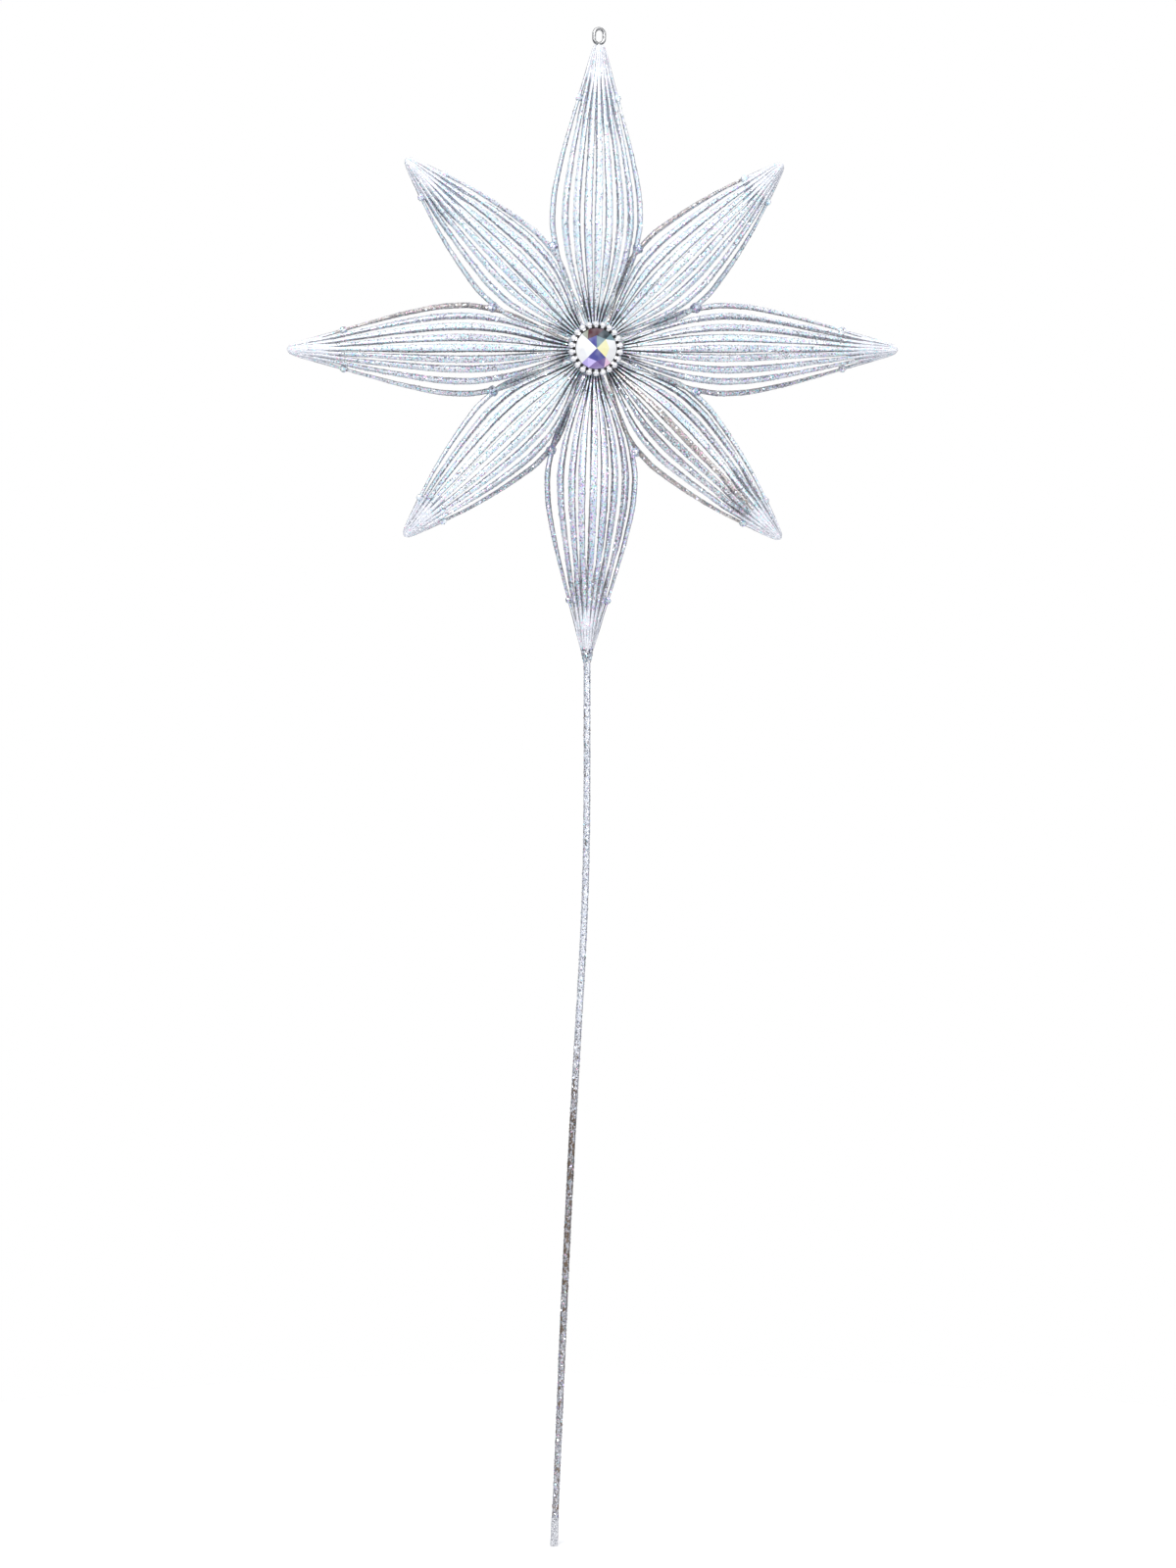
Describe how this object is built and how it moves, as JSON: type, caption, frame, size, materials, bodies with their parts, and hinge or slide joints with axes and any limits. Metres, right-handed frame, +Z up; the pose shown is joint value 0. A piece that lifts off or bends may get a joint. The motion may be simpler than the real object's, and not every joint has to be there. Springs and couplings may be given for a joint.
{
  "type": "star flower pick",
  "caption": "Openwork star flower of ribbed petals with a jewelled hub and a hanging eye, on a bent sleeved wire stem plugged into its lower tip, so the flower turns and pulls off.",
  "frame": {"origin": "centre of the flat lower end of the stem's end cap", "axes": "+Z up along the upright top of the stem, the flower faces -Y, +X to the right seen from the front"},
  "size_m": [0.305, 0.0268, 0.756],
  "materials": {
    "petal_plastic": "silver-white moulded plastic with clear iridescent glitter",
    "hub_plastic": "silver-white moulded plastic with glitter",
    "pin_metal": "satin",
    "setting_metal": "bright plated",
    "adhesive": "dried clear glue",
    "stone_glass": "faceted, foil backed, iridescent coating",
    "bond_cement": "clear cement with glitter in it",
    "eye_metal": "plain silver-grey",
    "socket_plastic": "moulded",
    "collar_plastic": "coarse glitter",
    "wire_steel": "bright drawn wire",
    "sleeve_plastic": "silver glitter, worn to brown in places",
    "cap_plastic": "smooth silver-white"
  },
  "bodies": {
    "stem": {"stem_wire": "wire_steel", "stem_sleeve": "sleeve_plastic", "stem_end_cap": "cap_plastic"},
    "collar": {"stem_collar": "collar_plastic"},
    "flower": {"front_petal_top": "petal_plastic", "front_petal_top_right": "petal_plastic", "front_petal_right": "petal_plastic", "front_petal_bottom_right": "petal_plastic", "front_petal_bottom": "petal_plastic", "front_petal_bottom_left": "petal_plastic", "front_petal_left": "petal_plastic", "front_petal_top_left": "petal_plastic", "back_petal_top": "petal_plastic", "back_petal_top_right": "petal_plastic", "back_petal_right": "petal_plastic", "back_petal_bottom_right": "petal_plastic", "back_petal_bottom": "petal_plastic", "back_petal_bottom_left": "petal_plastic", "back_petal_left": "petal_plastic", "back_petal_top_left": "petal_plastic", "front_hub": "hub_plastic", "back_hub": "hub_plastic", "centre_pin": "pin_metal", "stone_setting": "setting_metal", "stone_adhesive": "adhesive", "centre_stone": "stone_glass", "petal_bonds": "bond_cement", "hanging_eye": "eye_metal", "stem_socket": "socket_plastic"}
  },
  "joints": [
    {"name": "flower_pull_off", "type": "slide", "parent": "stem", "child": "collar", "axis": [0, 0, 1], "range_m": [0, 0.028]},
    {"name": "flower_swivel", "type": "hinge", "parent": "collar", "child": "flower", "pos_m": [0.0166, 0, 0.4482], "axis": [0, 0, 1], "continuous": true}
  ]
}
